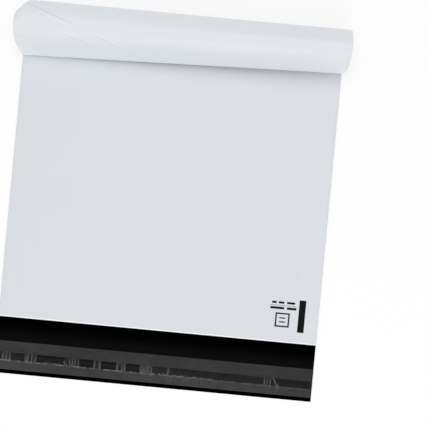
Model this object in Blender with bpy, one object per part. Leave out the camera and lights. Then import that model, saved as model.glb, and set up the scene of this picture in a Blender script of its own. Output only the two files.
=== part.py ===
"""A poly mailer bag, empty, lying on its back with its closed end curled forward over its front.

Metres, +Z up. X runs across the bag and Y from the flap towards the curl. The origin is on the surface that
the bag lies on, under the middle of it. Film is modelled thicker than it is, at film_thickness.
"""

import math

import bmesh
import bpy
from mathutils import Vector

# The bag laid flat, from the mouth's edge on the front
bag_width = 0.254
bag_length = 0.330
flap_length = 0.045
side_weld_width = 0.003
film_thickness = 0.0003
ply_gap = 0.0003

# The closure on the flap's inner face
liner_from_mouth = 0.0188
liner_width = 0.023
liner_thickness = 0.0003
glue_from_liner_edge = 0.0094
glue_width = 0.0061
glue_thickness = 0.0003
liner_step_width = 0.0012
seat_gap = 0.0003

# The curl, at the bag's left and right edge: how much film is in it, how high its free edge stands above the
# front, how much film at the free edge stays straight, over how much film the bend sets in and dies out, and
# by what share the film bends more at the curl's top and bottom than at its sides, which makes it upright
curl_film_left = 0.1212
curl_lift_left = 0.0003
curl_straight_left = 0.008
curl_easing_left = 0.025
curl_upright_left = 0.0
curl_film_right = 0.1135
curl_lift_right = 0.008
curl_straight_right = 0.004
curl_easing_right = 0.014
curl_upright_right = 0.45

# Facets
curl_station_length = 0.0019
columns_between_welds = 4
fold_segments = 4
integration_steps = 12

pouch_thickness = 2 * film_thickness + ply_gap
curl_zone = 1.03 * max(curl_film_left, curl_film_right)


def smooth_rise(share):
    """A curve from 0 to 1, level at both ends."""
    held = min(max(share, 0.0), 1.0)
    return held * held * (3 - 2 * held)


def film_stations():
    """Distances along the film from the mouth's edge: the flap's tip, the mouth, then close steps in the curl."""
    count = math.ceil(curl_zone / curl_station_length)
    curl = [bag_length - curl_zone * (1 - step / count) for step in range(count + 1)]
    return [-flap_length, 0.0] + curl


def curl_line(stations, start, bend, straight, easing, upright):
    """The middle of the pouch at each station, as (y, z, turn). The bend rises after start, and dies out
    before the straight stretch at the free edge."""
    end = bag_length - straight
    height = pouch_thickness / 2
    line = [(station, height, 0.0) for station in stations[:3]]
    y, z, turn = line[-1]
    for here, there in zip(stations[2:], stations[3:]):
        step = (there - here) / integration_steps
        for number in range(integration_steps):
            along = here + (number + 0.5) * step
            bending = smooth_rise((along - start) / easing) * smooth_rise((end - along) / easing)
            bending *= 1 + upright * math.cos(2 * turn)
            half_turn = bend * bending * step / 2
            turn += half_turn
            y += math.cos(turn) * step
            z += math.sin(turn) * step
            turn += half_turn
        line.append((y, z, turn))
    return line


def curl_section(stations, film, lift, straight, easing, upright):
    """The curl line whose free edge comes down at its film's length from the mouth, lift above the front.
    Newton's method finds where its bend starts and how strong it is."""
    goal_y = bag_length - film
    goal_z = pouch_thickness * 1.5 + lift
    start = bag_length - 0.9 * film
    bend = 7.0 / film
    nudge_start, nudge_bend = film * 1e-5, bend * 1e-5

    def miss(start_here, bend_here):
        y, z, turn = curl_line(stations, start_here, bend_here, straight, easing, upright)[-1]
        return y - goal_y, z - goal_z

    for _ in range(60):
        off_y, off_z = miss(start, bend)
        if abs(off_y) + abs(off_z) < 1e-9:
            break
        moved = miss(start + nudge_start, bend)
        bent = miss(start, bend + nudge_bend)
        slope_yy, slope_zy = (moved[0] - off_y) / nudge_start, (moved[1] - off_z) / nudge_start
        slope_yb, slope_zb = (bent[0] - off_y) / nudge_bend, (bent[1] - off_z) / nudge_bend
        scale = slope_yy * slope_zb - slope_yb * slope_zy
        step_start = (slope_yb * off_z - slope_zb * off_y) / scale
        step_bend = (slope_zy * off_y - slope_yy * off_z) / scale
        held = min(1.0, 0.03 * film / max(abs(step_start), 1e-12), 0.07 * bend / max(abs(step_bend), 1e-12))
        start += held * step_start
        bend += held * step_bend
    return curl_line(stations, start, bend, straight, easing, upright)


def film_path(last, half):
    """One face of the folded film, from the front's mouth edge round the bottom fold to the flap's tip, as
    (station, distance past it, height above the middle)."""
    front = [(k, 0.0, half) for k in range(1, last)]
    angles = [math.pi * step / fold_segments for step in range(fold_segments + 1)]
    fold = [(last, half * math.sin(angle), half * math.cos(angle)) for angle in angles]
    back = [(k, 0.0, -half) for k in range(last - 1, -1, -1)]
    return front + fold + back


def placed(x, point, left, right):
    """A film point on the straight line between its places at the bag's left and right edge."""
    station, past, height = point
    ends = []
    for section in (left, right):
        y, z, turn = section[station]
        along_y = y + past * math.cos(turn) - height * math.sin(turn)
        along_z = z + past * math.sin(turn) + height * math.cos(turn)
        ends.append(Vector((x, along_y, along_z)))
    return ends[0].lerp(ends[1], x / bag_width + 0.5)


def film_columns():
    """Places across the bag: both edges, the inner edge of both welds, and even steps between the welds."""
    inner = bag_width / 2 - side_weld_width
    step = 2 * inner / columns_between_welds
    between = [-inner + step * number for number in range(columns_between_welds + 1)]
    return [-bag_width / 2] + between + [bag_width / 2]


def side_wall(bm, face, pairs):
    """Closes the front run of a face's points to its back run, up to the bottom fold."""
    for j in range(pairs - 1):
        bm.faces.new((face[j], face[j + 1], face[2 * pairs + fold_segments - 2 - j - 1],
                      face[2 * pairs + fold_segments - 2 - j]))
    bm.faces.new(face[pairs - 1:pairs + fold_segments])


def film_mesh():
    """The film as one body: folded across the bottom, welded up both sides and open at the mouth."""
    stations = film_stations()
    left = curl_section(stations, curl_film_left, curl_lift_left, curl_straight_left, curl_easing_left,
                        curl_upright_left)
    right = curl_section(stations, curl_film_right, curl_lift_right, curl_straight_right, curl_easing_right,
                         curl_upright_right)
    last = len(stations) - 1
    outer_path = film_path(last, pouch_thickness / 2)
    inner_path = film_path(last, ply_gap / 2)
    pairs = last
    mouth, tip = len(outer_path) - 2, len(outer_path) - 1
    columns = film_columns()
    final = len(columns) - 1
    bm = bmesh.new()
    outer = [[bm.verts.new(placed(x, point, left, right)) for point in outer_path] for x in columns]
    inner = [[bm.verts.new(placed(x, point, left, right)) for point in inner_path] for x in columns[1:-1]]
    edge_inner = [[bm.verts.new(placed(x, point, left, right)) for point in inner_path[mouth:]]
                  for x in (columns[0], columns[-1])]

    for i in range(final):
        for j in range(tip):
            bm.faces.new((outer[i][j], outer[i][j + 1], outer[i + 1][j + 1], outer[i + 1][j]))
    for i in range(final - 2):
        for j in range(tip):
            bm.faces.new((inner[i][j], inner[i + 1][j], inner[i + 1][j + 1], inner[i][j + 1]))
        bm.faces.new((outer[i + 1][0], outer[i + 2][0], inner[i + 1][0], inner[i][0]))
        bm.faces.new((inner[i][tip], inner[i + 1][tip], outer[i + 2][tip], outer[i + 1][tip]))

    for edge, beside, wall, rim in ((0, 1, inner[0], edge_inner[0]), (final, final - 1, inner[-1], edge_inner[1])):
        bm.faces.new((rim[0], rim[1], wall[tip], wall[mouth]))
        bm.faces.new((rim[0], rim[1], outer[edge][tip], outer[edge][mouth]))
        bm.faces.new((rim[1], wall[tip], outer[beside][tip], outer[edge][tip]))
        bm.faces.new((outer[edge][0], outer[beside][0], wall[0], wall[mouth], rim[0]))
        side_wall(bm, wall, pairs)
        bm.faces.new((outer[edge][0], outer[edge][1], outer[edge][mouth - 1], outer[edge][mouth], rim[0]))
        for j in range(1, pairs - 1):
            bm.faces.new((outer[edge][j], outer[edge][j + 1], outer[edge][mouth - j - 1], outer[edge][mouth - j]))
        bm.faces.new(outer[edge][pairs - 1:pairs + fold_segments])

    bmesh.ops.recalc_face_normals(bm, faces=bm.faces)
    return finished_mesh(bm, "bag_film")


def finished_mesh(bm, name):
    """Triangulates, writes the mesh and shades its curves smooth."""
    bmesh.ops.triangulate(bm, faces=bm.faces)
    mesh = bpy.data.meshes.new(name)
    bm.to_mesh(mesh)
    bm.free()
    mesh.shade_smooth()
    mesh.set_sharp_from_angle(angle=math.radians(30))
    return mesh


def strip_mesh(name, profile):
    """A strip as wide as the bag, from its section as (distance past the mouth, height)."""
    bm = bmesh.new()
    corners = [bm.verts.new((-bag_width / 2, -away, height)) for away, height in profile]
    section = bm.faces.new(corners)
    grown = bmesh.ops.extrude_face_region(bm, geom=[section])
    moved = [part for part in grown["geom"] if isinstance(part, bmesh.types.BMVert)]
    bmesh.ops.translate(bm, verts=moved, vec=(bag_width, 0, 0))
    bmesh.ops.recalc_face_normals(bm, faces=bm.faces)
    return finished_mesh(bm, name)


def glue_profile():
    """A band of glue with sloped edges, seated on the flap's inner face."""
    near = liner_from_mouth + glue_from_liner_edge
    low = film_thickness + seat_gap
    slope = glue_thickness
    return [(near, low), (near + glue_width, low), (near + glue_width - slope, low + glue_thickness),
            (near + slope, low + glue_thickness)]


def liner_profile():
    """A strip of film that lies on the flap at both edges and steps up over the glue."""
    near, far = liner_from_mouth, liner_from_mouth + liner_width
    glue_near = near + glue_from_liner_edge - seat_gap
    glue_far = near + glue_from_liner_edge + glue_width + seat_gap
    low = film_thickness + seat_gap
    high = low + glue_thickness + seat_gap
    under = [(near, low), (glue_near - liner_step_width, low), (glue_near, high), (glue_far, high),
             (glue_far + liner_step_width, low), (far, low)]
    over = [(away, height + liner_thickness) for away, height in reversed(under)]
    return under + over


def plain_material(name, colour, roughness, coat=0.0):
    material = bpy.data.materials.new(name)
    material.use_nodes = True
    shader = material.node_tree.nodes["Principled BSDF"]
    shader.inputs["Base Color"].default_value = (*colour, 1)
    shader.inputs["Roughness"].default_value = roughness
    shader.inputs["Metallic"].default_value = 0.0
    shader.inputs["Coat Weight"].default_value = coat
    material.diffuse_color = (*colour, 1)
    return material


def add_piece(name, mesh, material, parent):
    mesh.materials.append(material)
    piece = bpy.data.objects.new(name, mesh)
    bpy.context.collection.objects.link(piece)
    piece.parent = parent
    return piece


def build():
    for old in list(bpy.data.objects):
        bpy.data.objects.remove(old, do_unlink=True)
    film = film_mesh()
    reach = [vertex.co.y for vertex in film.vertices]
    bag = bpy.data.objects.new("bag_frame", None)
    bag.location = (0, -(min(reach) + max(reach)) / 2, 0)
    bpy.context.collection.objects.link(bag)
    white_film = plain_material("white_film", (0.70, 0.73, 0.77), 0.42)
    hot_melt = plain_material("hot_melt", (0.02, 0.02, 0.022), 0.3)
    clear_liner = plain_material("clear_liner", (0.04, 0.04, 0.045), 0.35, coat=0.2)
    add_piece("bag_film", film, white_film, bag)
    add_piece("adhesive_strip", strip_mesh("adhesive_strip", glue_profile()), hot_melt, bag)
    add_piece("release_liner", strip_mesh("release_liner", liner_profile()), clear_liner, bag)


build()
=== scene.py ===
import math

import bpy
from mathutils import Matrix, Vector


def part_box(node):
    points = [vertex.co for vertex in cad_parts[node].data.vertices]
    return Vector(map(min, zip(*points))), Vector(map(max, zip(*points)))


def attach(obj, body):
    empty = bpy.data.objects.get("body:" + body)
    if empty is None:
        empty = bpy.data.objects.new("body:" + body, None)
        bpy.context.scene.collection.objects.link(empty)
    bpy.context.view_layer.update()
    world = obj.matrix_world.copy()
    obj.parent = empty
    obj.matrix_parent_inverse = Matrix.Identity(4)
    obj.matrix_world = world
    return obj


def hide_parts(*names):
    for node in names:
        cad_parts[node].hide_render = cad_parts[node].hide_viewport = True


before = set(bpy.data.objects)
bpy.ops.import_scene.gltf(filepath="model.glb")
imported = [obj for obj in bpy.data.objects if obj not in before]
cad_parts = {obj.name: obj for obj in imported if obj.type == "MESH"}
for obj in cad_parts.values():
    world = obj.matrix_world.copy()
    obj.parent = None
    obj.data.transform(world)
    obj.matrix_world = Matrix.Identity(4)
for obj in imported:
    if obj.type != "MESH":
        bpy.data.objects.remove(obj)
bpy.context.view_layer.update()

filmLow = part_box("bag_film")[0]
print("frame loaded")


# Wires: a node socket that takes part in Python expressions

class Wire:
    def __init__(self, tree, socket):
        self.tree = tree
        self.socket = socket

    def maths(self, operation, *others, swap=False, clamp=False):
        values = [self, *others]
        if swap:
            values.reverse()
        return self.tree.add("ShaderNodeMath", {"operation": operation, "use_clamp": clamp},
                             dict(enumerate(values)))

    def __add__(self, other):
        return self.maths("ADD", other)

    def __radd__(self, other):
        return self.maths("ADD", other)

    def __sub__(self, other):
        return self.maths("SUBTRACT", other)

    def __rsub__(self, other):
        return self.maths("SUBTRACT", other, swap=True)

    def __mul__(self, other):
        return self.maths("MULTIPLY", other)

    def __rmul__(self, other):
        return self.maths("MULTIPLY", other)

    def __truediv__(self, other):
        return self.maths("DIVIDE", other)

    def __rtruediv__(self, other):
        return self.maths("DIVIDE", other, swap=True)

    def __neg__(self):
        return self.maths("MULTIPLY", -1.0)

    def __abs__(self):
        return self.maths("ABSOLUTE")

    def least(self, other):
        return self.maths("MINIMUM", other)

    def most(self, other):
        return self.maths("MAXIMUM", other)

    def held(self):    # kept between 0 and 1
        return self.maths("ADD", 0.0, clamp=True)

    def eased(self, start, end):    # 0 at start, 1 at end, level at both
        return self.tree.add("ShaderNodeMapRange", {"interpolation_type": "SMOOTHSTEP"},
                             {"Value": self, "From Min": start, "From Max": end})

    def parts(self):
        node = self.tree.node("ShaderNodeSeparateXYZ", {}, {0: self})
        return [Wire(self.tree, output) for output in node.outputs]


class Nodes:
    def __init__(self, tree):
        self.tree = tree

    def node(self, kind, settings=None, sockets=None):
        made = self.tree.nodes.new(kind)
        for name, value in (settings or {}).items():
            if name == "stops":
                self.setStops(made.color_ramp, value)
            else:
                setattr(made, name, value)
        for key, value in (sockets or {}).items():
            self.feed(made.inputs[key], value)
        return made

    def add(self, kind, settings=None, sockets=None, output=0):
        return Wire(self, self.node(kind, settings, sockets).outputs[output])

    def feed(self, socket, value):
        if isinstance(value, Wire):
            self.tree.links.new(value.socket, socket)
        elif value is not None:
            socket.default_value = value

    def setStops(self, ramp, stops):
        while len(ramp.elements) < len(stops):
            ramp.elements.new(1.0)
        for element, (place, colour) in zip(ramp.elements, stops):
            element.position = place
            element.color = colour

    def vector(self, x, y, z):
        return self.add("ShaderNodeCombineXYZ", {}, {0: x, 1: y, 2: z})

    def vectors(self, operation, *values, output=0):
        return self.add("ShaderNodeVectorMath", {"operation": operation}, dict(enumerate(values)), output)

    def mix(self, kind, data, share, first, second):
        node = self.node("ShaderNodeMix", {"data_type": data})
        for key, value in (("Factor_Float", share), ("A_" + kind, first), ("B_" + kind, second)):
            socket = next(s for s in node.inputs if s.identifier == key)
            self.feed(socket, value)
        return Wire(self, next(s for s in node.outputs if s.identifier == "Result_" + kind))

    def mixColour(self, share, first, second):
        return self.mix("Color", "RGBA", share, first, second)

    def mixVector(self, share, first, second):
        return self.mix("Vector", "VECTOR", share, first, second)


# The bag's sizes, as the CAD has them, in metres

bag = {
    "width": 0.254,
    "length": 0.330,          # mouth edge to bottom fold
    "flap": 0.045,
    "middle": 0.00045,        # height of the pouch's middle above the floor
    "filmThickness": 0.0002,
    "weld": 0.003,
}
mouthY = filmLow.y + bag["flap"]

# Each end of the curl: how much film it takes, how far its free edge stands above the front, the stretch
# by the fold that stays straight, how gently the bend comes and goes, and how upright its oval is
curl = {
    "left": {"film": 0.1212, "lift": 0.0003, "straight": 0.008, "easing": 0.025, "upright": 0.0},
    "right": {"film": 0.1135, "lift": 0.008, "straight": 0.004, "easing": 0.014, "upright": 0.45},
    "zone": 0.126,            # the film's last stretch, in which both ends bend
    "step": 0.0006,
}


def smoothRise(share):
    held = min(max(share, 0.0), 1.0)
    return held * held * (3 - 2 * held)


def bendLine(start, bend, end):    # the pouch's middle from the curl's start to the bottom fold
    count = round(curl["zone"] / curl["step"])
    step = curl["zone"] / count
    y, z, turn = bag["length"] - curl["zone"], bag["middle"], 0.0
    line = [(y, z)]
    for number in range(count):
        along = bag["length"] - curl["zone"] + (number + 0.5) * step
        strength = smoothRise((along - start) / end["easing"])
        strength *= smoothRise((bag["length"] - end["straight"] - along) / end["easing"])
        strength *= 1 + end["upright"] * math.cos(2 * turn)
        halfTurn = bend * strength * step / 2
        turn += halfTurn
        y += math.cos(turn) * step
        z += math.sin(turn) * step
        turn += halfTurn
        line.append((y, z))
    return line


def solveCurl(end):    # Newton's method: the free edge comes down where this end's film length puts it
    tries, closeEnough, probe = 60, 1e-8, 1e-5
    startLimit, bendLimit = 0.03, 0.07         # the most that one step may change either value, as a share
    goalY = bag["length"] - end["film"]
    goalZ = bag["middle"] * 3 + end["lift"]
    start, bend = bag["length"] - 0.9 * end["film"], 7.0 / end["film"]      # a first guess
    smallStart, smallBend = end["film"] * probe, bend * probe
    for _ in range(tries):
        y, z = bendLine(start, bend, end)[-1]
        offY, offZ = y - goalY, z - goalZ
        if abs(offY) + abs(offZ) < closeEnough:
            break
        movedY, movedZ = bendLine(start + smallStart, bend, end)[-1]
        bentY, bentZ = bendLine(start, bend + smallBend, end)[-1]
        a, c = (movedY - y) / smallStart, (movedZ - z) / smallStart
        b, d = (bentY - y) / smallBend, (bentZ - z) / smallBend
        scale = a * d - b * c
        stepStart, stepBend = (b * offZ - d * offY) / scale, (c * offY - a * offZ) / scale
        held = min(1.0, startLimit * end["film"] / max(abs(stepStart), 1e-12),
                   bendLimit * bend / max(abs(stepBend), 1e-12))
        start += held * stepStart
        bend += held * stepBend
    return bendLine(start, bend, end)


def addObject(name, data):
    made = bpy.data.objects.new(name, data)
    bpy.context.collection.objects.link(made)
    return made


def guideCurve(name, x, line):    # a hidden curve that a sheet's side edge follows
    data = bpy.data.curves.new(name, "CURVE")
    data.dimensions = "3D"
    spline = data.splines.new("POLY")
    spline.points.add(len(line) - 1)
    for point, (y, z) in zip(spline.points, line):
        point.co = (x, y, z, 1)
    guide = addObject(name, data)
    guide.hide_render = True
    return guide


creaseMark = 1e-5    # a crease's strength is kept as this much height in its hidden line


def creaseLines(name, lines):    # hidden edges in a sheet's flat coordinates, each where a crease runs
    mesh = bpy.data.meshes.new(name)
    points, edges = [], []
    for line in lines:
        edges += [(len(points) + k, len(points) + k + 1) for k in range(len(line) - 1)]
        points += [(x, along, strength * creaseMark) for x, along, strength in line]
    mesh.from_pydata(points, edges, [])
    made = addObject(name, mesh)
    made.hide_render = True
    return made


def flatSheet(name, across, along):    # a sheet as it was cut, with its flat coordinates as its UV map
    mesh = bpy.data.meshes.new(name)
    points = [(x, t, 0.0) for t in along for x in across]
    wide = len(across)
    faces = []
    for j in range(len(along) - 1):
        for i in range(wide - 1):
            k = j * wide + i
            faces.append((k, k + 1, k + 1 + wide, k + wide))
    mesh.from_pydata(points, [], faces)
    uv = mesh.uv_layers.new(name="flat")
    width, length = across[-1] - across[0], along[-1] - along[0]
    for loop in mesh.loops:
        x, t, _ = points[loop.vertex_index]
        uv.data[loop.index].uv = ((x - across[0]) / width, (t - along[0]) / length)
    mesh.shade_smooth()
    return addObject(name, mesh)


def spread(*stops):    # even places from each stop to the next, about its step apart, and the last stop
    places = []
    for (start, step), (end, _) in zip(stops, stops[1:]):
        count = max(1, round(abs(end - start) / step))
        places += [start + (end - start) * k / count for k in range(count)]
    return places + [stops[-1][0]]


# Geometry Nodes: a flat sheet laid along two guides, folded back on itself, creased and rippled

def nearestLine(n, lines, place):    # how far the nearest of the hidden lines is, and its strength there
    info = n.node("GeometryNodeObjectInfo", {}, {"Object": lines})
    near = n.node("GeometryNodeProximity", {"target_element": "EDGES"},
                  {0: Wire(n, info.outputs["Geometry"]), "Sample Position": place})
    return Wire(n, near.outputs["Distance"]), Wire(n, near.outputs["Position"]).parts()[2] / creaseMark


def layTree():
    tree = bpy.data.node_groups.new("laySheet", "GeometryNodeTree")
    face = tree.interface
    face.new_socket("Geometry", in_out="INPUT", socket_type="NodeSocketGeometry")
    inputs = {
        "Object": ["Left Guide", "Right Guide", "Creases", "Dents"],
        "Material": ["Finish"],
        "Float": ["Width", "Start", "Fold At", "Fold Length", "Half Gap", "Weld Width", "Weld Gap",
                  "Crease Width", "Crease Height", "Dent Width", "Dent Height", "Dent Slide",
                  "Ripple Height", "Ripple Size", "Ripple Inset", "Seed"],
    }
    for kind, names in inputs.items():
        for name in names:
            face.new_socket(name, in_out="INPUT", socket_type="NodeSocket" + kind)
    face.new_socket("Geometry", in_out="OUTPUT", socket_type="NodeSocketGeometry")
    n = Nodes(tree)
    given = tree.nodes.new("NodeGroupInput")
    values = {output.name: Wire(n, output) for output in given.outputs if output.name}

    flat = n.add("GeometryNodeInputPosition")
    x, t, _ = flat.parts()
    foldAt = values["Fold At"]
    s = foldAt - abs(t - foldAt)                     # distance from the first edge along the folded sheet
    side = ((foldAt - t) / values["Fold Length"]).most(-1.0).least(1.0)
    toEdge = values["Width"] / 2 - abs(x)
    inPouch = s.eased(-0.002, 0.004)                 # the side welds start at the mouth
    apart = 1 - inPouch * (1 - toEdge.eased(0.0, values["Weld Width"]))
    gap = values["Weld Gap"] + (values["Half Gap"] - values["Weld Gap"]) * apart
    height = side * gap

    place = n.vector(x, s, 0.0)
    nearCrease, strength = nearestLine(n, values["Creases"], place)
    reach = (1 - nearCrease / values["Crease Width"]).most(0.0)
    crease = reach * reach * strength                # a sharp crest that runs out at both sides
    nearDent, depth = nearestLine(n, values["Dents"], place)
    dent = (1 - nearDent.eased(0.0, values["Dent Width"])) * depth
    size = values["Ripple Size"]
    wave = n.add("ShaderNodeTexNoise", {"noise_dimensions": "4D"},
                 {"Vector": n.vectors("DIVIDE", place, n.vector(size, size, size)),
                  "W": values["Seed"], "Scale": 1.0, "Detail": 1.0, "Roughness": 0.4})
    calm = toEdge.eased(0.0, 0.02) * s.eased(0.0, values["Ripple Inset"])      # edges stay straight
    ripple = wave * values["Ripple Height"] * calm
    height = height + crease * values["Crease Height"] + dent * values["Dent Height"] + ripple

    ends = []
    for name in ("Left Guide", "Right Guide"):
        info = n.node("GeometryNodeObjectInfo", {}, {"Object": values[name]})
        sample = n.node("GeometryNodeSampleCurve", {"mode": "LENGTH", "use_all_curves": True},
                        {"Curves": Wire(n, info.outputs["Geometry"]), "Length": s + values["Start"]})
        ends.append((Wire(n, sample.outputs["Position"]), Wire(n, sample.outputs["Tangent"])))
    share = x / values["Width"] + 0.5
    centre = n.mixVector(share, ends[0][0], ends[1][0])
    tangent = n.vectors("NORMALIZE", n.mixVector(share, ends[0][1], ends[1][1]))
    up = n.vectors("NORMALIZE", n.vectors("CROSS_PRODUCT", (1.0, 0.0, 0.0), tangent))
    lifted = n.vectors("ADD", centre, n.vectors("MULTIPLY", up, n.vector(height, height, height)))
    lifted = n.vectors("ADD", lifted, n.vector(dent * values["Dent Slide"], 0.0, 0.0))

    marked = n.node("GeometryNodeStoreNamedAttribute", {"data_type": "FLOAT", "domain": "POINT"},
                    {"Geometry": values["Geometry"], "Name": "crease"})    # while the sheet is still flat
    value = next(socket for socket in marked.inputs if socket.name == "Value" and socket.enabled)
    n.feed(value, crease)
    laid = n.add("GeometryNodeSetPosition", {},
                 {"Geometry": Wire(n, marked.outputs[0]), "Position": lifted})
    real = n.add("GeometryNodeRealizeInstances", {}, {0: laid})
    finished = n.add("GeometryNodeSetMaterial", {}, {"Geometry": real, "Material": values["Finish"]})
    out = tree.nodes.new("NodeGroupOutput")
    tree.links.new(finished.socket, out.inputs[0])
    return tree


def keepResult(sheet, modifier):    # the modifier's result becomes the sheet's own plain mesh
    graph = bpy.context.evaluated_depsgraph_get()
    mesh = bpy.data.meshes.new_from_object(sheet.evaluated_get(graph), preserve_all_data_layers=True,
                                           depsgraph=graph)
    sheet.modifiers.remove(modifier)
    sheet.data = mesh
    mesh.name = sheet.name


def laySheet(tree, sheet, values):    # runs the tree on a flat sheet
    modifier = sheet.modifiers.new("lay", "NODES")
    modifier.node_group = tree
    names = {item.name: item.identifier for item in tree.interface.items_tree
             if item.item_type == "SOCKET" and item.in_out == "INPUT"}
    for name, value in values.items():
        modifier[names[name]] = value
    keepResult(sheet, modifier)


def giveThickness(sheet, thickness, inner=None):    # inner is the finish of the other face and of the rim
    solid = sheet.modifiers.new("thickness", "SOLIDIFY")
    solid.thickness = thickness
    solid.offset = -1.0
    solid.use_even_offset = False
    if inner:
        sheet.data.materials.append(inner)
        solid.material_offset = 1
        solid.material_offset_rim = 1
    keepResult(sheet, solid)


# Finishes

def newMaterial(name):
    material = bpy.data.materials.new(name)
    material.use_nodes = True
    n = Nodes(material.node_tree)
    shader = material.node_tree.nodes["Principled BSDF"]
    return material, n, shader


def boxMask(n, u, v, centreU, centreV, wide, long, soft=0.00015):    # 1 inside a rectangle
    outside = (abs(u - centreU) - wide / 2).most(abs(v - centreV) - long / 2)
    return 1 - outside.eased(-soft, soft)


def flatCoordinates(n, width, length):    # the sheet's own flat coordinates in metres, x from its middle
    uv = n.add("ShaderNodeUVMap", {"uv_map": "flat"})
    u, v, _ = uv.parts()
    return (u - 0.5) * width, v * length


def speckle(n, u, v, sizeU, sizeV, detail=2.0):    # noise in flat coordinates, its grain a size each way
    return n.add("ShaderNodeTexNoise", {"noise_dimensions": "2D"},
                 {"Vector": n.vector(u / sizeU, v / sizeV, 0.0), "Scale": 1.0, "Detail": detail})


whiteFilm = {
    "colour": (0.797, 0.825, 0.871, 1),
    "cloudColour": (0.785, 0.813, 0.859, 1),
    # edgeColour is the painted highlight on the mouth's cut edge and on the crease ridges, and the pale of
    # the margin's streaks
    "edgeColour": (0.95, 0.96, 0.97, 1),
    # creaseColour is the painted shade in the crease valleys
    "creaseColour": (0.585, 0.605, 0.640, 1),
    "ink": (0.0085, 0.0085, 0.0085, 1),
    "roughness": 0.45,
    "coat": 0.5,
    "coatRoughness": 0.35,
    "specular": 0.02,
    "cloudScale": 30.0,
    "grainScale": 400.0,
    "grainDepth": 0.1,         # how far the roughness goes up and down with the grain
    "paintedTones": [                 # distance from the mouth, and the film's painted light there: a painted highlight palest on top of the curl, painted shade on its front and on the flat film
        (0.185, 0.852), (0.202, 0.872), (0.240, 0.877), (0.262, 0.985), (0.2725, 1.0), (0.281, 0.985),
        (0.289, 0.905), (0.294, 0.872), (0.299, 0.815), (0.304, 0.835), (0.313, 0.867), (0.330, 0.925),
    ],
    "paintedEdgeHighlight": 0.0011,        # a painted highlight: a thin bright line along the cut edge of the mouth
    "cutLine": 0.00035,        # outside it, the black inner layer shows at the cut
    "margin": (0.106, 0.114),  # the right margin, where the film is drawn into faint streaks
    "marginGrain": (0.0016, 0.30),
    "marginShare": 0.10,
    "ridgeHighlightShare": 0.35,       # painted highlight: the film is painted this much paler where a crease stands up
    "valleyShadeShare": 0.5,        # and painted shade: this much darker where it goes in
    "bars": [                  # middle x, middle distance from the mouth, width and length of each bar
        (0.1135, 0.0221, 0.0053, 0.0258),
        (0.0908, 0.0319, 0.0036, 0.0017), (0.0966, 0.0319, 0.0044, 0.0017),
        (0.1042, 0.0319, 0.0064, 0.0017),
        (0.0983, 0.0296, 0.0211, 0.0003),
        (0.0935, 0.0275, 0.0110, 0.0019), (0.1050, 0.0275, 0.0076, 0.0019),
        (0.0983, 0.0197, 0.0050, 0.0010), (0.0983, 0.0165, 0.0050, 0.0010),
    ],
    "frame": {"u": 0.0983, "v": 0.0181, "size": 0.0114, "line": 0.0012},    # a plain printed square
}


def makeWhiteFilm():
    material, n, shader = newMaterial("whiteFilm")
    u, t = flatCoordinates(n, bag["width"], 2 * bag["length"] + bag["flap"])
    box = whiteFilm["frame"]
    inside = box["size"] - 2 * box["line"]
    printed = boxMask(n, u, t, box["u"], box["v"], box["size"], box["size"])
    printed = printed - boxMask(n, u, t, box["u"], box["v"], inside, inside)
    for bar in whiteFilm["bars"]:
        printed = printed.most(boxMask(n, u, t, *bar))
    cut, line = whiteFilm["cutLine"], whiteFilm["paintedEdgeHighlight"]
    printed = printed.most(1 - t.eased(cut * 0.6, cut * 1.4))
    place = n.add("ShaderNodeTexCoord", output=3)
    cloud = n.add("ShaderNodeTexNoise", {},
                  {"Vector": place, "Scale": whiteFilm["cloudScale"], "Detail": 3.0})
    base = n.mixColour(cloud, whiteFilm["colour"], whiteFilm["cloudColour"])
    fromMouth = bag["length"] - abs(t - bag["length"])
    # painted light along the film, multiplied into its colour: a painted highlight on top of the curl,
    # painted shade on its front and on the flat film
    stops = [(along / bag["length"], (paintedTone, paintedTone, paintedTone, 1)) for along, paintedTone in whiteFilm["paintedTones"]]
    paintedTone = n.add("ShaderNodeValToRGB", {"stops": stops}, {"Fac": fromMouth / bag["length"]})
    base = n.vectors("MULTIPLY", base, paintedTone)
    crease = n.add("ShaderNodeAttribute", {"attribute_name": "crease"}, output=2)
    # painted highlight along the mouth's cut edge
    edge = 1 - t.eased(line * 0.7, line * 1.3)
    margin = speckle(n, u, t, *whiteFilm["marginGrain"]) * u.eased(*whiteFilm["margin"])
    # painted highlight on each crease's ridge, then painted shade in its valley
    raised = (-crease).held() * whiteFilm["ridgeHighlightShare"]
    bright = edge.most(margin * whiteFilm["marginShare"]).most(raised)
    base = n.mixColour(bright, base, whiteFilm["edgeColour"])
    base = n.mixColour(crease.held() * whiteFilm["valleyShadeShare"], base, whiteFilm["creaseColour"])
    n.feed(shader.inputs["Base Color"], n.mixColour(printed, base, whiteFilm["ink"]))
    n.feed(shader.inputs["Coat Weight"], (1 - printed) * whiteFilm["coat"])
    shader.inputs["Coat Roughness"].default_value = whiteFilm["coatRoughness"]
    grain = n.add("ShaderNodeTexNoise", {},
                  {"Vector": place, "Scale": whiteFilm["grainScale"], "Detail": 2.0})
    n.feed(shader.inputs["Roughness"], whiteFilm["roughness"] + (grain - 0.5) * whiteFilm["grainDepth"])
    shader.inputs["Specular IOR Level"].default_value = whiteFilm["specular"]
    return material


blackFilm = {
    "deep": (0.0002, 0.0002, 0.0002, 1),
    "paintedSheen": (0.0042, 0.0042, 0.0042, 1),     # a painted sheen towards the liner, where the film catches a little light
    "paintedSheenFrom": (0.004, 0.018),              # distances past the mouth, between which it comes and goes
    "paintedSheenTo": (0.040, 0.043),
    "streakGrain": (0.03, 0.004),
    "streakDepth": 0.8,
    "roughness": 0.5,
    "roughnessDepth": 0.2,
    "specular": 0.0015,
}


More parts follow.
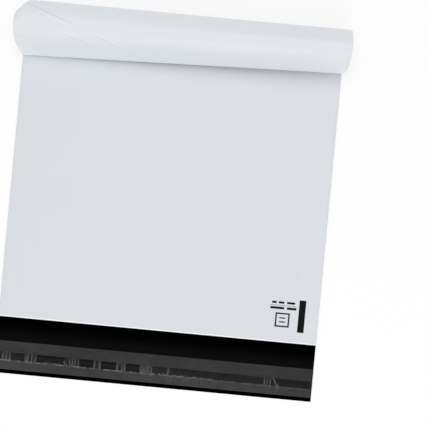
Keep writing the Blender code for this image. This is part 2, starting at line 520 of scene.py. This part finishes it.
def makeBlackFilm():
    material, n, shader = newMaterial("blackFilm")
    u, t = flatCoordinates(n, bag["width"], 2 * bag["length"] + bag["flap"])
    past = t - 2 * bag["length"]             # distance past the mouth, on the flap
    streak = speckle(n, u, t, *blackFilm["streakGrain"]) - 0.5
    # painted sheen: the black is painted paler towards the liner
    paintedSheen = past.eased(*blackFilm["paintedSheenFrom"]) * (1 - past.eased(*blackFilm["paintedSheenTo"]))
    paintedSheen = (paintedSheen * (1 + streak * blackFilm["streakDepth"])).held()
    n.feed(shader.inputs["Base Color"], n.mixColour(paintedSheen, blackFilm["deep"], blackFilm["paintedSheen"]))
    n.feed(shader.inputs["Roughness"], blackFilm["roughness"] + streak * blackFilm["roughnessDepth"])
    shader.inputs["Specular IOR Level"].default_value = blackFilm["specular"]
    return material


hotMelt = {
    "darkColour": (0.010, 0.010, 0.011, 1),
    "paleColour": (0.020, 0.020, 0.021, 1),
    "blotchScale": 900.0,
    "roughness": 0.2,
    "roughnessDepth": 0.2,
}


def makeGlue():
    material, n, shader = newMaterial("hotMeltGlue")
    place = n.add("ShaderNodeTexCoord", output=3)
    blotch = n.add("ShaderNodeTexNoise", {},
                   {"Vector": place, "Scale": hotMelt["blotchScale"], "Detail": 2.0})
    n.feed(shader.inputs["Base Color"], n.mixColour(blotch, hotMelt["darkColour"], hotMelt["paleColour"]))
    n.feed(shader.inputs["Roughness"], hotMelt["roughness"] + blotch * hotMelt["roughnessDepth"])
    return material


# Release liner: where it sits on the flap, and how the glue shows through it (x in metres from the middle)

liner = {
    "name": "releaseLiner",
    "fromMouth": 0.0188,
    "width": 0.023,
    "rightMargin": 0.0008,     # the liner stops this far before the flap's right edge
    "seat": 0.0003,            # its height where it lies on the flap, and where it lies on the glue
    "overGlue": 0.00075,
    "thickness": 0.00006,
    "glueFrom": 0.0094,        # from the liner's edge by the mouth
    "glueSlant": 0.0041,       # the band runs this share nearer the mouth towards the left
    "glueWidth": 0.0061,
    "step": 0.0012,            # how far it takes to rise from one to the other
    "topColour": (0.0330, 0.0330, 0.0336, 1),
    "lowColour": (0.0515, 0.0515, 0.0524, 1),
    "patches": [               # x, reach and how much paler
        (-0.112, 0.036, 0.35), (-0.062, 0.024, -0.30), (0.118, 0.024, -0.25),
    ],
    "wetColour": (0.0030, 0.0030, 0.0032, 1),    # where the glue wets the film
    # creaseColour here is the pale of the marks: painted highlights on the creases and along the band's lower
    # edge, and the bubbles and hatch
    "creaseColour": (0.170, 0.170, 0.172, 1),
    "pale": 0.70,              # how near the film below the band is to lowColour
    "paleDrop": 0.55,          # and how much less the film above it is
    "depths": {"haze": 1.1, "cloud": 0.9, "streak": 0.8},    # how strongly each pattern shows
    "grains": {                # each pattern's grain across and along, and its detail
        "wobble": (0.003, 0.003, 2.0),
        "streak": (0.030, 0.0007, 3.0),
        "haze": (0.012, 0.005, 3.0),
        "cloud": (0.045, 0.020, 1.0),
        "pucker": (0.0009, 0.012, 2.0),
        "fleck": (0.0012, 0.0012, 1.0),
        "hatch": (0.0010, 0.012, 1.0),
        "breaks": (0.006, 0.05, 1.0),
    },
    "wobble": 0.0006,          # how far the band's edges wander
    "blocks": [                # from x to x, how fully the glue wets the film
        (-0.1300, -0.1220, 0.80), (-0.1136, -0.1030, 0.80), (-0.0992, -0.0978, 0.70),
        (-0.0930, -0.0708, 0.95), (-0.0708, -0.0587, 0.55), (-0.0587, -0.0478, 1.00),
        (-0.0415, -0.0296, 1.00), (-0.0218, -0.0112, 0.95), (-0.0008, 0.0112, 0.70),
        (0.0136, 0.0349, 0.80), (0.0597, 0.0629, 0.60), (0.1010, 0.1275, 0.68),
    ],
    "leastWet": 0.15,          # between the blocks, and how much the puckers there add
    "puckerWet": 0.6,
    "puckersTo": (-0.01, 0.03),    # from x to x, over which the puckers run out
    "softFrom": (0.020, 0.030),    # from x to x, over which the glue turns into an even darker band
    "softWet": 0.44,
    "streaks": [               # x of each short crease across the glue
        -0.1202, -0.1174, -0.1146, -0.1018, -0.1000, -0.0970, -0.0942, -0.0665, -0.0645, -0.0625,
        -0.0597, -0.0469, -0.0425, -0.0286, -0.0248, -0.0228, -0.0096, -0.0080, -0.0064, -0.0048,
        -0.0032, -0.0012, 0.0120, 0.0893, 0.0913, 0.0938,
    ],
    "streakLean": 0.00025,
    "streakReach": 0.0005,     # how unevenly they end
    "wrinkles": [              # x, distance from the liner's far edge, strength
        [(0.0956, 0.0136, 0.4), (0.0967, 0.0123, 0.9), (0.1000, 0.0051, 0.8), (0.1003, 0.0044, 0.0)],
        [(0.1007, 0.0098, 0.2), (0.1002, 0.0085, 0.7), (0.0992, 0.0028, 0.3)],
        [(-0.0703, 0.0118, 0.0), (-0.0712, 0.0098, 0.9), (-0.0689, 0.0078, 0.7)],
    ],
    "bubbles": [(-0.087, -0.074), (-0.004, 0.012), (0.016, 0.048)],    # from x to x, along the band's edge
    "bubbleBand": 0.0016,
    "hatch": (0.031, 0.004, 0.040, 0.006, 0.002),    # middle x and distance, width, length, softness
    "lights": {"crease": 1.1, "bubble": 0.7, "hatch": 0.16, "edge": 0.6},    # how bright each mark is: on the creases and along the band's lower edge these are painted highlights
    "roughness": 0.35,
    "roughnessDepth": 0.15,
    "specular": 0.04,
    "rowStep": 0.0003,         # of the guides, and of the sheet across and along
    "sheetSteps": (0.00045, 0.00055),
    "laying": {                # the laying tree's other inputs: the liner has no fold, weld or dent
        "Start": 0.0, "Fold At": 1.0, "Fold Length": 0.001, "Half Gap": 0.0,
        "Weld Width": 0.001, "Weld Gap": 0.0, "Crease Width": 0.0007, "Crease Height": 0.00022,
        "Dent Width": 0.01, "Dent Height": 0.0, "Dent Slide": 0.0,
        "Ripple Height": 0.00006, "Ripple Size": 0.006, "Ripple Inset": 0.001, "Seed": 8.0,
    },
}


def anyOf(masks):
    whole = masks[0]
    for mask in masks[1:]:
        whole = whole.most(mask)
    return whole


def makeLiner():
    material, n, shader = newMaterial("releaseLinerFilm")
    width = bag["width"] - liner["rightMargin"]
    u, t = flatCoordinates(n, width, liner["width"])    # t from the flap's tip side towards the mouth
    high = liner["width"] - liner["glueFrom"]
    low = high - liner["glueWidth"]
    grain = {name: speckle(n, u, t, *sizes) for name, sizes in liner["grains"].items()}
    haze, streak = grain["haze"], grain["streak"]
    wobble = (grain["wobble"] - 0.5) * liner["wobble"]
    edge = t + wobble + u * liner["glueSlant"]

    pale = liner["pale"] - t.eased(low - 0.002, high) * liner["paleDrop"]
    for x, reach, change in liner["patches"]:
        pale = pale + (1 - abs(u - x).eased(reach * 0.4, reach)) * change
    for name, depth in liner["depths"].items():
        pale = pale + (grain[name] - 0.5) * depth
    base = n.mixColour(pale.held(), liner["topColour"], liner["lowColour"])

    band = edge.eased(low - 0.0003, low + 0.0003) * (1 - edge.eased(high - 0.0004, high + 0.0004))
    wet = anyOf([boxMask(n, u + wobble, t, (start + end) / 2, 0.0, end - start, 1.0, 0.0004) * strength
                 for start, end, strength in liner["blocks"]])
    rim = abs((edge - (low + high) / 2) / (liner["glueWidth"] / 2)).least(1.0)
    wet = wet * (0.80 + rim * rim * 0.3 + (streak - 0.5) * 0.4)
    pucker = grain["pucker"].eased(0.42, 0.58) * (1 - u.eased(*liner["puckersTo"]))
    between = liner["leastWet"] + pucker * liner["puckerWet"]
    soft = u.eased(*liner["softFrom"]) * (liner["softWet"] + haze * 0.5)
    wet = wet.most(soft).most(between)
    coloured = n.mixColour((band * wet).held(), base, liner["wetColour"])

    bubbles = anyOf([boxMask(n, u, edge, (start + end) / 2, low + 0.0002, end - start,
                             liner["bubbleBand"], 0.0007)
                     for start, end in liner["bubbles"]]) * grain["fleck"].eased(0.52, 0.64)
    hatch = grain["hatch"].eased(0.50, 0.66) * boxMask(n, u, t, *liner["hatch"])
    # painted highlight along the band's lower edge, where the liner steps down off the glue
    stepHighlight = 1 - abs(edge - (low - 0.0005)).eased(0.0002, 0.0009)
    stepHighlight = stepHighlight * (1 - u.eased(0.0, 0.05) * 0.7) * grain["breaks"].eased(0.42, 0.60)
    # the liner's creases get painted highlights, on ridge and valley alike
    crease = abs(n.add("ShaderNodeAttribute", {"attribute_name": "crease"}, output=2))
    strengths = liner["lights"]
    light = anyOf([crease * strengths["crease"], bubbles * strengths["bubble"],
                   hatch * strengths["hatch"], stepHighlight * strengths["edge"]]).held()
    n.feed(shader.inputs["Base Color"], n.mixColour(light, coloured, liner["creaseColour"]))
    n.feed(shader.inputs["Roughness"], liner["roughness"] + haze * liner["roughnessDepth"])
    shader.inputs["Specular IOR Level"].default_value = liner["specular"]
    return material


whiteOuter, blackInner, glueFinish, linerFinish = makeWhiteFilm(), makeBlackFilm(), makeGlue(), makeLiner()
print("finishes made")


# Pieces

flapTipY = -bag["flap"]


def edgeGuide(name, side, end):    # the pouch's middle at one side edge, from the flap's tip to the fold
    line = [(flapTipY, bag["middle"])] + solveCurl(end)
    return guideCurve(name, side * bag["width"] / 2, [(y + mouthY, z) for y, z in line])


film = {
    "name": "mailerFilm",
    "rimRows": 0.0003,         # two narrow rows at the mouth keep the smooth shading of the rim there
    "flatStep": 0.005,
    "sideStep": 0.0005,        # across the welds
    "foldZone": 0.002,         # each way from the bottom fold
    "foldStep": 0.0002,
    "flapStep": 0.003,
    "innerStep": 0.0025,       # along the curl, on the ply inside it
    "outerStep": 0.0018,
    "columnStep": 0.0036,      # across the sheet, to the right of the creases
    "creasedStep": 0.0007,     # where the creases are, both ways
    "creasedTo": -0.042,
    "creasedLow": 0.266,
    "creasedHigh": 0.308,
    "creases": [               # x, distance from the mouth, strength: up is a valley seen from outside
        [(-0.1235, 0.2700, 0.2), (-0.1150, 0.2742, 0.8), (-0.1020, 0.2802, 1.0), (-0.0840, 0.2868, 0.7),
         (-0.0760, 0.2895, 0.0)],
        [(-0.1262, 0.2848, -0.2), (-0.1160, 0.2880, -0.4), (-0.1070, 0.2916, 0.0)],
        [(-0.1030, 0.2898, 0.0), (-0.0830, 0.2964, -0.9), (-0.0650, 0.3036, -0.7), (-0.0590, 0.3060, 0.0)],
        [(-0.0740, 0.2898, 0.0), (-0.0580, 0.2964, -0.9), (-0.0470, 0.3024, -0.9), (-0.0430, 0.3046, 0.0)],
        [(-0.1262, 0.3003, 0.5), (-0.1080, 0.3030, 0.3), (-0.0980, 0.3050, 0.0)],
    ],
    "pairStep": 0.0013,        # each crease is a valley and a ridge this far apart
    "dents": [                 # the corner of the weld is bent in, at the back left
        [(-0.1280, 0.2660, 0.80), (-0.1255, 0.2661, 0.52), (-0.1230, 0.2662, 0.28), (-0.1200, 0.2664, 0.10),
         (-0.1165, 0.2668, 0.0)],
    ],
    "laying": {                # the laying tree's other inputs
        "Fold Length": 0.0008, "Weld Gap": 0.00022, "Crease Width": 0.0013, "Crease Height": 0.0004,
        "Dent Width": 0.024, "Dent Height": 0.0085, "Dent Slide": 0.0035,
        "Ripple Height": 0.0002, "Ripple Size": 0.05, "Ripple Inset": 0.03, "Seed": 3.0,
    },
}


def pairedCreases():
    lines = []
    for line in film["creases"]:
        lines.append(line)
        lines.append([(x, along + film["pairStep"], -strength) for x, along, strength in line])
    return lines


def makeFilm(tree):
    half, total = bag["width"] / 2, 2 * bag["length"] + bag["flap"]
    curlStart, fold, zone = bag["length"] - curl["zone"], bag["length"], film["foldZone"]
    across = spread((-half, film["sideStep"]), (-half + bag["weld"], film["creasedStep"]),
                    (film["creasedTo"], film["columnStep"]), (half - bag["weld"], film["sideStep"]),
                    (half, None))
    along = spread((0, film["rimRows"]), (2 * film["rimRows"], film["flatStep"]),
                   (curlStart, film["innerStep"]), (fold - zone, film["foldStep"]),
                   (fold + zone, film["outerStep"]),
                   (2 * fold - film["creasedHigh"], film["creasedStep"]),
                   (2 * fold - film["creasedLow"], film["outerStep"]),
                   (2 * fold - curlStart, film["flatStep"]), (2 * fold, film["flapStep"]), (total, None))
    sheet = flatSheet(film["name"], across, along)
    laySheet(tree, sheet, {
        "Left Guide": edgeGuide("leftEdgeGuide", -1, curl["left"]),
        "Right Guide": edgeGuide("rightEdgeGuide", 1, curl["right"]),
        "Creases": creaseLines("curlCreaseLines", pairedCreases()),
        "Dents": creaseLines("curlDentLines", film["dents"]),
        "Finish": whiteOuter, "Width": bag["width"], "Start": bag["flap"], "Fold At": bag["length"],
        "Half Gap": bag["middle"], "Weld Width": bag["weld"], **film["laying"],
    })
    giveThickness(sheet, bag["filmThickness"], blackInner)
    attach(sheet, "root")
    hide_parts("bag_film")
    return sheet


def linerLine(seat, top, x):    # along the flap towards the mouth, raised over the glue
    low, high = -liner["fromMouth"] - liner["width"], -liner["fromMouth"]
    bandHigh = high - liner["glueFrom"] - liner["glueSlant"] * x
    bandLow = bandHigh - liner["glueWidth"]
    line = []
    for y in spread((low, liner["rowStep"]), (high, None)):
        rise = smoothRise((y - bandLow + liner["step"]) / liner["step"])
        rise *= smoothRise((bandHigh + liner["step"] - y) / liner["step"])
        line.append((y + mouthY, seat + (top - seat) * rise))
    return line


def streakLines():    # short creases across the glue, which lean a little and end unevenly
    high = liner["width"] - liner["glueFrom"]
    low = high - liner["glueWidth"]
    lines = []
    for number, x in enumerate(liner["streaks"]):
        lean = liner["streakLean"] * math.sin(number * 2.4)
        reach = liner["streakReach"] * math.sin(number * 1.7)
        strength = 0.85 + 0.15 * math.sin(number * 3.1)
        slant = liner["glueSlant"] * x
        lines.append([(x - lean, low - 0.0009 + reach - slant, 0.6 * strength),
                      (x, low + 0.0015 - slant, strength),
                      (x + lean, high - 0.0004 + reach - slant, 0.5 * strength)])
    return lines + liner["wrinkles"]


def makeLinerStrip(tree):
    left, right = -bag["width"] / 2, bag["width"] / 2 - liner["rightMargin"]
    width = right - left
    across = spread((-width / 2, liner["sheetSteps"][0]), (width / 2, None))
    along = spread((0, liner["sheetSteps"][1]), (liner["width"], None))
    sheet = flatSheet(liner["name"], across, along)
    leftLine = linerLine(liner["seat"], liner["overGlue"], left)
    rightLine = linerLine(liner["seat"], liner["overGlue"], right)
    noDent = [[(0.0, 1.0, 0.0), (0.1, 1.0, 0.0)]]    # a line of no strength, well away from the sheet
    laySheet(tree, sheet, {
        "Left Guide": guideCurve("linerLeftGuide", left, leftLine),
        "Right Guide": guideCurve("linerRightGuide", right, rightLine),
        "Creases": creaseLines("linerCreaseLines", streakLines()),
        "Dents": creaseLines("linerDentLines", noDent),
        "Finish": linerFinish, "Width": width, **liner["laying"],
    })
    giveThickness(sheet, liner["thickness"])
    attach(sheet, "root")
    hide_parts("release_liner")


glue = {
    "name": "adhesiveBand",
    "bottom": 0.00025,
    "top": 0.00068,
    "side": 0.0001,            # height of its straight sides
    "shoulder": 6,             # the higher, the squarer its rounded top
    "facets": 8,
    "step": 0.003,
    "wander": [(0.9, 0.00015), (2.3, 0.0001)],    # the turn at each step along it, and how far it wanders
}


def makeGlueBand():    # a flat bead with rounded shoulders, which wanders a little along its length
    half = liner["glueWidth"] / 2
    middle = mouthY - liner["fromMouth"] - liner["glueFrom"] - half
    sideTop = glue["bottom"] + glue["side"]
    section = []
    for k in range(glue["facets"] + 1):
        share = k / glue["facets"]
        crown = 1 - abs(2 * share - 1) ** glue["shoulder"]
        section.append((-half + 2 * half * share, sideTop + (glue["top"] - sideTop) * crown))
    section += [(half, glue["bottom"]), (-half, glue["bottom"])]
    points, faces = [], []
    stations = spread((-bag["width"] / 2, glue["step"]), (bag["width"] / 2, None))
    for number, x in enumerate(stations):
        wander = sum(reach * math.sin(number * turn) for turn, reach in glue["wander"])
        here = middle - liner["glueSlant"] * x
        for offset, z in section:
            shift = wander if -half < offset < half else 0.0
            points.append((x, here + offset + shift, z))
    ring = len(section)
    for number in range(len(stations) - 1):
        for k in range(ring):
            a, b = number * ring + k, number * ring + (k + 1) % ring
            faces.append((a, a + ring, b + ring, b))
    faces.append(tuple(range(ring)))
    faces.append(tuple(reversed(range(len(points) - ring, len(points)))))
    mesh = bpy.data.meshes.new(glue["name"])
    mesh.from_pydata(points, [], faces)
    mesh.validate()
    mesh.materials.append(glueFinish)
    band = addObject(glue["name"], mesh)
    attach(band, "root")
    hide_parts("adhesive_strip")


tree = layTree()
mailer = makeFilm(tree)
print("film laid")
makeGlueBand()
makeLinerStrip(tree)
print("glue and liner laid")


# Floor, light and camera

studio = {
    "floorSize": 6.0,
    "floorDrop": 0.0003,       # the floor lies this far below the bag
    "floorColour": (0.96, 0.96, 0.96, 1),
    "floorWhite": 0.7,         # how much of the floor that the camera sees is plain white
    "floorFades": (0.4, 1.6),  # distances between which the far floor runs out into white
    "worldStrength": 0.620,
    "lamps": {    # energy, size and place of each soft box, all of which look at the bag
        "overheadSoftbox": (5.5, 0.9, (0.0, 0.40, 1.45)),
        "highFrontSoftbox": (3.0, 0.6, (0.0, -0.96, 1.15)),
        "frontSoftbox": (7.0, 0.8, (0.0, -1.41, 0.51)),
        "backSoftbox": (0.4, 0.8, (0.0, 1.41, 0.51)),
    },
    "cameraDistance": 0.590,
    "sensorWidth": 36.0,       # in millimetres
    "frameWidth": 0.3430,      # how much of the floor's width the picture shows
    "lookAt": (0.0372, 0.0963),    # across from the bag's middle, and past its mouth edge
    "roll": 5.4,
}


def makeFloor():
    half = studio["floorSize"] / 2
    mesh = bpy.data.meshes.new("floor")
    corners = [(-half, -half, 0), (half, -half, 0), (half, half, 0), (-half, half, 0)]
    mesh.from_pydata(corners, [], [(0, 1, 2, 3)])
    floor = addObject("floor", mesh)
    floor.location.z = -studio["floorDrop"]
    material = bpy.data.materials.new("whiteSweep")
    material.use_nodes = True
    n = Nodes(material.node_tree)
    n.tree.nodes.clear()
    lit = n.add("ShaderNodeBsdfDiffuse", {}, {"Color": studio["floorColour"]})
    glow = n.add("ShaderNodeEmission", {}, {"Color": (1, 1, 1, 1), "Strength": 1.0})
    path = n.node("ShaderNodeLightPath")
    seen = Wire(n, path.outputs["Is Camera Ray"]).most(Wire(n, path.outputs["Is Glossy Ray"]))
    seen = seen.most(Wire(n, path.outputs["Is Transmission Ray"]))
    far = n.vectors("LENGTH", n.add("ShaderNodeTexCoord", output=3), output=1).eased(*studio["floorFades"])
    white = studio["floorWhite"] + (1 - studio["floorWhite"]) * far
    mixed = n.add("ShaderNodeMixShader", {}, {0: seen * white, 1: lit, 2: glow})
    out = n.node("ShaderNodeOutputMaterial")
    n.tree.links.new(mixed.socket, out.inputs["Surface"])
    mesh.materials.append(material)


def makeLights():
    scene = bpy.context.scene
    world = bpy.data.worlds.new("studioWorld")
    world.use_nodes = True
    scene.world = world
    n = Nodes(world.node_tree)
    back = world.node_tree.nodes["Background"]
    path = n.node("ShaderNodeLightPath")
    seen = Wire(n, path.outputs["Is Camera Ray"])
    n.feed(back.inputs["Color"], (1, 1, 1, 1))
    n.feed(back.inputs["Strength"], seen * (1 - studio["worldStrength"]) + studio["worldStrength"])
    for name, (energy, size, place) in studio["lamps"].items():
        data = bpy.data.lights.new(name, "AREA")
        data.energy = energy
        data.size = size
        lamp = addObject(name, data)
        lamp.location = place
        lamp.rotation_euler = (-Vector(place)).to_track_quat("-Z", "Y").to_euler()


def makeCamera():
    data = bpy.data.cameras.new("overheadCamera")
    data.sensor_width = studio["sensorWidth"]
    data.lens = data.sensor_width * studio["cameraDistance"] / studio["frameWidth"]
    camera = addObject("overheadCamera", data)
    across, past = studio["lookAt"]
    camera.location = (across, mouthY + past, studio["cameraDistance"])
    camera.rotation_euler = (0, 0, math.radians(studio["roll"]))
    bpy.context.scene.camera = camera
    bpy.context.scene.view_settings.view_transform = "Standard"


makeFloor()
makeLights()
makeCamera()
print("studio ready")
